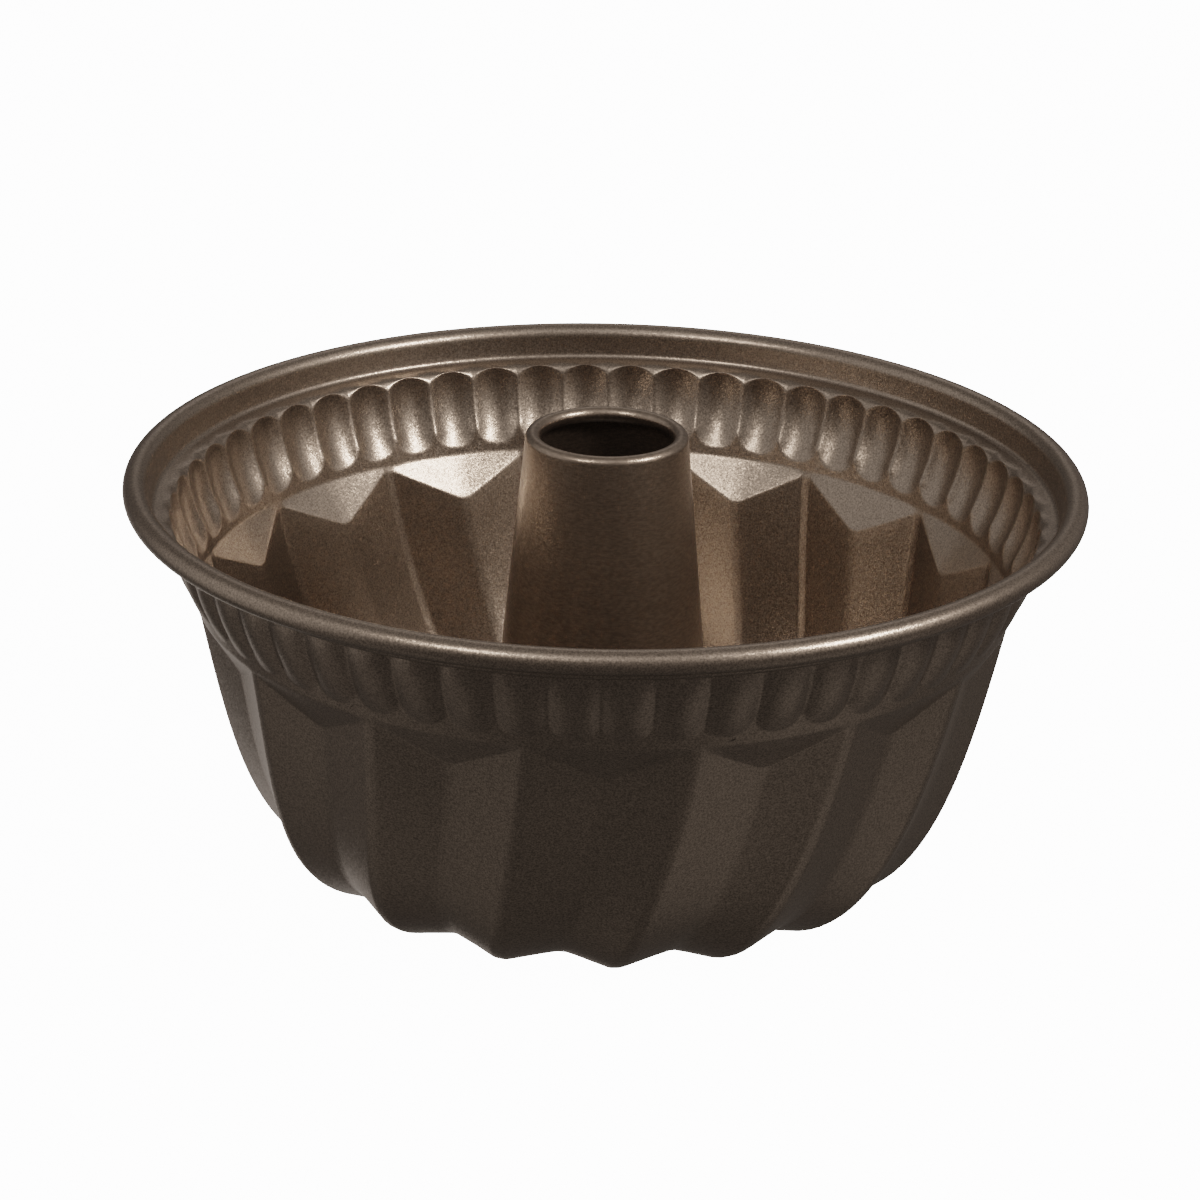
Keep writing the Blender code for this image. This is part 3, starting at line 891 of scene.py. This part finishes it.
def bronze(name, dark, light, roughness, lie):
    """Lacquer with its grain and flakes; lie stretches the grain along the marks of the tools."""
    material, surface = new_finish(name, light, METAL_SHARE, roughness)
    grain = fine_noise(material, GRAIN, 3, stretch=lie)
    wire_up(material, graded(material, grain, *NARROW, dark, light), surface.inputs["Base Color"])
    cloud = fine_noise(material, CLOUDS, 2)
    gloss = ranged(material, cloud, *WIDE, roughness - GLOSS_CHANGE, roughness + GLOSS_CHANGE)
    wire_up(material, gloss, surface.inputs["Roughness"])
    wire_up(material, flaked_normal(material, FLAKE_TIP, FLAKES), surface.inputs["Normal"])
    return material


ROUGHNESS = 0.288
EVEN = (1, 1, 1)
TURNED = (0.3, 0.3, 1)            # the tube was rolled and turned, so its grain lies in rings
BODY_DARK = (0.224, 0.196, 0.170)
BODY_LIGHT = (0.422, 0.368, 0.319)
TUBE_DARK = (0.286, 0.245, 0.208)
TUBE_LIGHT = (0.384, 0.328, 0.280)
body_bronze = bronze("bronze_coating", BODY_DARK, BODY_LIGHT, ROUGHNESS, EVEN)
tube_bronze = bronze("bronze_tube_coating", TUBE_DARK, TUBE_LIGHT, ROUGHNESS, TURNED)
body.data.materials.append(body_bronze)
tube.data.materials.append(tube_bronze)
print("finishes:", body_bronze.name, tube_bronze.name)

# %% [markdown]
# ## Drawn steel wire
# The wire is bare drawn steel. Its fine marks run along it, so its grain is much finer up and down than
# round the rim. A plain grey metal would look cast.

# %% Wire finish
DRAWN = (1, 1, 6)
MARKS = 900                       # marks of the drawing die per metre
STEEL = (0.45, 0.44, 0.42)
STEEL_DARK = (0.38, 0.37, 0.35)
STEEL_LIGHT = (0.5, 0.49, 0.47)
STEEL_ROUGHNESS = 0.35
STEEL_GLOSS = (0.3, 0.42)         # least and most roughness along the marks


def drawn_steel():
    """Bare steel with fine marks that run along the wire."""
    material, surface = new_finish("drawn_wire", STEEL, 1.0, STEEL_ROUGHNESS)
    marks = fine_noise(material, MARKS, 2, stretch=DRAWN)
    colour = graded(material, marks, *WIDE, STEEL_DARK, STEEL_LIGHT)
    wire_up(material, colour, surface.inputs["Base Color"])
    wire_up(material, ranged(material, marks, *WIDE, *STEEL_GLOSS), surface.inputs["Roughness"])
    return material


wire.data.materials.append(drawn_steel())
print("finish of the wire:", wire.data.materials[0].name)

# %% [markdown]
# ## Put the pieces on the model
# Each fine piece takes the place of its CAD node and rides with the body it belongs to. Nothing on
# a mould moves, so all of them ride with the one body. They were drawn in the model's own frame, and
# need no fitting.

# %% Seat the pieces
SEATS = ((body, "mould_body", "bronze_coating"),
         (tube, "centre_tube", "bronze_tube_coating"),
         (wire, "rim_wire", "steel_wire"))
for piece, node, slot in SEATS:
    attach(piece, "root")
    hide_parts(node)
    print(piece.name, "stands for", node)

# %% [markdown]
# ## The floor
# The photograph has no visible table: everything round the mould is white. A pale floor with a glow of
# its own gives that look. The glow is for the camera alone. A metal mirrors whatever lies round it, and
# in the photograph the lower wall mirrors a dim table, so the floor is kept out of the reflections and
# the dim lower half of the studio is seen there instead.

# %% Floor
FLOOR_REACH = 8                   # metres each way
FLOOR_GLOW = 9.0
PALE = (0.85, 0.85, 0.85)


def pale_floor():
    """Matt white that also glows."""
    material, surface = new_finish("pale_floor", PALE, 0.0, 0.6)
    surface.inputs["Emission Color"].default_value = (1, 1, 1, 1)
    surface.inputs["Emission Strength"].default_value = FLOOR_GLOW
    return material


floor_mesh = bpy.data.meshes.new("floor")
corners = [(FLOOR_REACH * across, FLOOR_REACH * along, 0)
           for across, along in ((-1, -1), (1, -1), (1, 1), (-1, 1))]
floor_mesh.from_pydata(corners, [], [(0, 1, 2, 3)])
floor_mesh.materials.append(pale_floor())
floor = bpy.data.objects.new("floor", floor_mesh)
bpy.context.scene.collection.objects.link(floor)
floor.visible_diffuse = False
floor.visible_glossy = False
print("floor:", 2 * FLOOR_REACH, "metres wide")

# %% [markdown]
# ## The studio
# Two soft boxes light the mould, a strong one to the right and a weaker one to the front left, both about
# 40 degrees above the table. They make the broad highlights in the scoops and on the crescents. Lit
# planes would do the same, but a lamp is sampled better and gives less noise.

# %% Soft boxes
LAMPLIGHT = (1.16, 1.0, 0.88)     # a little warmer than the film's white
BOX_DISTANCE = 1.2
AIM_HEIGHT = 80 * MM              # the boxes face this height over the middle of the mould


def towards_studio(around, above):
    """Direction from the mould, in degrees from the front towards the right and above the table."""
    return at(cos(radians(above)), around, sin(radians(above)))


def soft_box(name, around, above, width, height, radiance):
    """Rectangular lamp that faces the mould; its power follows from the brightness of its face."""
    lamp = bpy.data.lights.new(name, "AREA")
    lamp.color = LAMPLIGHT
    lamp.shape = "RECTANGLE"
    lamp.size = width
    lamp.size_y = height
    lamp.energy = radiance * pi * width * height
    box = bpy.data.objects.new(name, lamp)
    bpy.context.scene.collection.objects.link(box)
    direction = towards_studio(around, above)
    box.location = Vector((0, 0, AIM_HEIGHT)) + direction * BOX_DISTANCE
    box.rotation_euler = direction.to_track_quat("Z", "Y").to_euler()
    box.visible_camera = False
    return box


key = soft_box("key_box", around=63, above=38, width=0.3, height=0.24, radiance=27.5)
fill = soft_box("fill_box", around=-34, above=41, width=0.24, height=0.2, radiance=10.5)
print("lamps in watts:", round(key.data.energy, 1), round(fill.data.energy, 1))

# %% [markdown]
# ## The room
# The rest of the room is dim, but the mould mirrors all of it. A photographed room as a background image
# would show a room that isn't this one. Instead it is drawn as a sky whose brightness depends only on
# the direction, with round glows where walls, screens and the table's far edge would be.

# %% A glow in the room
room = bpy.data.worlds.new("studio")
bpy.context.scene.world = room
room.use_nodes = True


def glow(around, above, inner, outer, strength):
    """Round glow in the room: full within inner degrees of its direction, gone beyond outer."""
    place = add(room, "ShaderNodeTexCoord")
    near = add(room, "ShaderNodeVectorMath", operation="DOT_PRODUCT")
    near.inputs[1].default_value = towards_studio(around, above)
    fade = add(room, "ShaderNodeMapRange", interpolation_type="SMOOTHSTEP",
               From_Min=cos(radians(outer)), From_Max=cos(radians(inner)), To_Min=0.0, To_Max=strength)
    wire_up(room, place.outputs["Generated"], near.inputs[0])
    wire_up(room, near.outputs["Value"], fade.inputs["Value"])
    return fade.outputs["Result"]


def summed(first, second):
    """Sum of two brightnesses."""
    total = add(room, "ShaderNodeMath", operation="ADD")
    wire_up(room, first, total.inputs[0])
    wire_up(room, second, total.inputs[1])
    return total.outputs["Value"]


print("world:", room.name)

# %% [markdown]
# Each glow is named for what would give it in a real studio. The far edge of the table is the
# strongest: it is the bright strip that the left side of the wall mirrors. A light painted for every
# highlight would be quicker, but would look wrong as soon as the mould is seen from another side.

# %% The glows
# Around and above, then inner and outer, all in degrees, then the strength
CEILING = (31, 75, 3, 112, 0.11)
SCREEN_OVER_CAMERA = (-20, 50, 4, 32, 0.48)
WALL_BEHIND_KEY = (66, 36, 0, 46, 0.38)
WALL_BEHIND_FILL = (-38, 36, 0, 26, 0.2)
WALL_OVER_KEY = (60, 55, 0, 20, 0.06)
UPPER_LEFT = (-92, 45, 0, 28, 0.06)
UPPER_RIGHT = (98, 45, 0, 25, 0.05)
RIGHT_BACK = (125, 15, 0, 40, 0.05)
LEFT_SCREEN = (-89, 9, 0, 51, 0.31)
TABLE_RIGHT = (72, -48, 0, 30, 0.08)
TABLE_LEFT = (-77, -48, 0, 32, 0.05)
TABLE_FAR_EDGE = (180, -20, 3, 13, 4.3)
TABLE_BACK_LEFT = (-163, -28, 0, 24, 0.3)
BACKDROP_TOP = (180, 38, 0, 20, 0.3)
ROOM_GLOWS = (CEILING, SCREEN_OVER_CAMERA, WALL_BEHIND_KEY, WALL_BEHIND_FILL, WALL_OVER_KEY,
              UPPER_LEFT, UPPER_RIGHT, RIGHT_BACK, LEFT_SCREEN, TABLE_RIGHT, TABLE_LEFT,
              TABLE_FAR_EDGE, TABLE_BACK_LEFT, BACKDROP_TOP)
ROOM_BASE = 0.082                 # brightness where no glow reaches


def room_light():
    """Brightness of the room in every direction."""
    brightness = glow(*ROOM_GLOWS[0])
    for place in ROOM_GLOWS[1:]:
        brightness = summed(brightness, glow(*place))
    base = add(room, "ShaderNodeMath", operation="ADD")
    base.inputs[1].default_value = ROOM_BASE
    wire_up(room, brightness, base.inputs[0])
    return base.outputs["Value"]


print("glows in the room:", len(ROOM_GLOWS))

# %% [markdown]
# The brightness and a tint go to the background. The camera itself sees a white backdrop. A white room
# would wash out the metal, so a light path node tells the camera's own view from the mirrored ones,
# and the backdrop is white for the camera alone.

# %% Background
ROOMLIGHT = (1.1, 1.0, 0.93)      # tint of the room as the mould mirrors it
BACKDROP = 12.0                   # brightness of the white backdrop, as the camera sees it
background = room.node_tree.nodes["Background"]
for_camera = add(room, "ShaderNodeLightPath")
choose = add(room, "ShaderNodeMix", data_type="FLOAT")
wire_up(room, for_camera.outputs["Is Camera Ray"], choose.inputs["Factor"])
wire_up(room, room_light(), choose.inputs["A"])
choose.inputs["B"].default_value = BACKDROP
tint = add(room, "ShaderNodeMix", data_type="RGBA")
tint.inputs["A"].default_value = (*ROOMLIGHT, 1)
tint.inputs["B"].default_value = (1, 1, 1, 1)
wire_up(room, for_camera.outputs["Is Camera Ray"], tint.inputs["Factor"])
wire_up(room, tint.outputs["Result"], background.inputs["Color"])
wire_up(room, choose.outputs["Result"], background.inputs["Strength"])
print("nodes in the room:", len(room.node_tree.nodes))

# %% [markdown]
# ## The film
# A camera doesn't record light in proportion: it rolls off the highlights and loses their colour, as
# the near-white spots in the scoops show. Blender's Standard view would cut them off, and its Filmic
# view rolls off in much the same way as the photograph.

# %% Film
bpy.context.scene.view_settings.view_transform = "Filmic"
bpy.context.scene.view_settings.look = "Medium High Contrast"
print("film:", bpy.context.scene.view_settings.view_transform, bpy.context.scene.view_settings.look)
